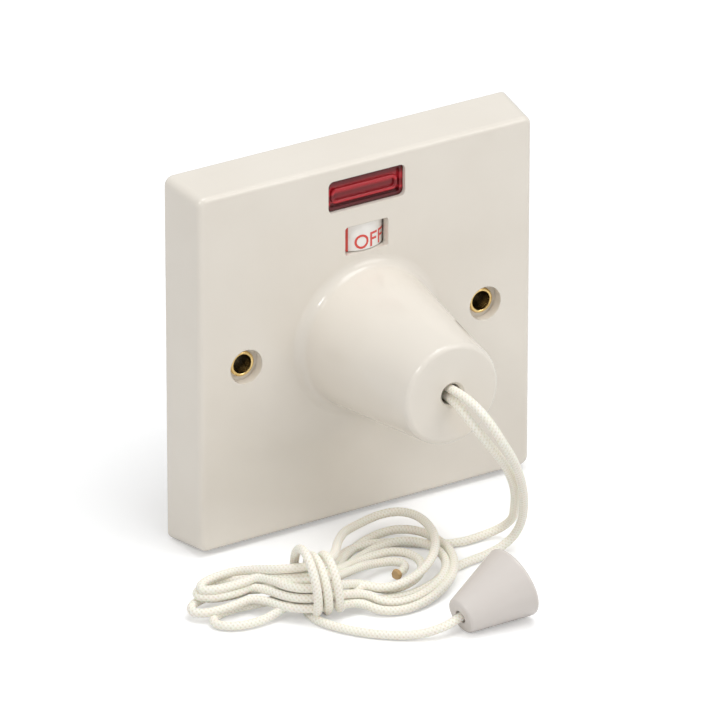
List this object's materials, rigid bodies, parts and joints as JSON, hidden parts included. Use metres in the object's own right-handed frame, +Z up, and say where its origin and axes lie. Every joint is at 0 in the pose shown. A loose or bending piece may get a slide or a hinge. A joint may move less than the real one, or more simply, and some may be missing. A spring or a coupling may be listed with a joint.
{
  "type": "pull cord switch",
  "caption": "Square wall plate with a conical cord outlet, red neon window, on-off flag window, brass eyelets and a doubled cord tied in a hank with a conical pull.",
  "frame": {"origin": "centre of the assembly's footprint at the plate's lowest edge, straight below the front face of the plate", "axes": "+X across the plate to the right, +Y back into the wall, +Z up the plate; the cord outlet points along -Y"},
  "size_m": [0.102, 0.0996, 0.086],
  "materials": {
    "plate_plastic": "gloss moulded, warm white",
    "pull_plastic": "gloss moulded, slightly pink white",
    "flag_plastic": "gloss moulded white",
    "lens_red": "clear red, moulded",
    "lamp_glass": "clear glass",
    "box_plastic": "satin moulded, pale grey",
    "mechanism_plastic": "satin moulded, dark grey",
    "brass": "bright brass",
    "copper_strip": "bright copper alloy",
    "steel": "zinc plated",
    "spring_steel": "bright drawn wire",
    "wire_sleeve": "soft sleeve",
    "resistor_body": "lacquered",
    "cord_braid": "braided synthetic cord, cream"
  },
  "bodies": {
    "root": {"front_cover": "plate_plastic", "fixing_eyelet_left": "brass", "fixing_eyelet_right": "brass", "neon_lens": "lens_red", "neon_holder": "box_plastic", "neon_lamp": "lamp_glass", "neon_wire_left": "wire_sleeve", "neon_wire_right": "wire_sleeve", "neon_resistor": "resistor_body", "mechanism_housing": "box_plastic", "housing_back": "box_plastic", "housing_screws": "steel", "back_screws": "steel", "detent_plate": "steel", "line_load_terminal": "brass", "line_supply_terminal": "brass", "neutral_load_terminal": "brass", "neutral_supply_terminal": "brass", "line_load_contact": "copper_strip", "line_supply_contact": "copper_strip", "neutral_load_contact": "copper_strip", "neutral_supply_contact": "copper_strip", "terminal_screws": "steel", "rocker_pin": "steel", "flag_pin": "steel", "earth_strap": "brass", "earth_terminal": "brass", "earth_screw": "steel", "return_spring": "spring_steel"},
    "pull_cord": {"pull_plunger": "mechanism_plastic", "cord_inside": "cord_braid", "cord_knot": "cord_braid", "pawl_pin": "steel", "cord_lead_front": "cord_braid", "cord_lead_rear": "cord_braid", "cord_hank": "cord_braid", "cord_tail": "cord_braid", "pull_cone": "pull_plastic", "pull_knot": "cord_braid"},
    "pawl": {"drive_pawl": "mechanism_plastic"},
    "rocker": {"rocker": "mechanism_plastic", "contact_arm_line": "copper_strip", "contact_arm_neutral": "copper_strip", "contact_springs": "spring_steel", "toggle_pin": "steel", "toggle_spring": "spring_steel"},
    "flag": {"indicator_flag": "flag_plastic"}
  },
  "joints": [
    {"name": "cord_pull", "type": "slide", "parent": "root", "child": "pull_cord", "axis": [0, -1, 0], "range_m": [0, 0.008], "stiffness_N_per_m": 600, "springref_m": -0.006, "deforming": ["return_spring"]},
    {"name": "pawl_swing", "type": "hinge", "parent": "pull_cord", "child": "pawl", "pos_m": [0, 0.0074, 0.043], "axis": [0, 0, 1], "range_deg": [-10, 10]},
    {"name": "rocker_tilt", "type": "hinge", "parent": "root", "child": "rocker", "pos_m": [0, 0.021, 0.043], "axis": [0, 0, -1], "range_deg": [0, 24]},
    {"name": "flag_turn", "type": "hinge", "parent": "root", "child": "flag", "pos_m": [0, 0.0084, 0.043], "axis": [0, 0, 1], "range_deg": [0, 76.8]}
  ],
  "couplings": [
    {"joint": "flag_turn", "follows": "rocker_tilt", "ratio": 3.2}
  ]
}
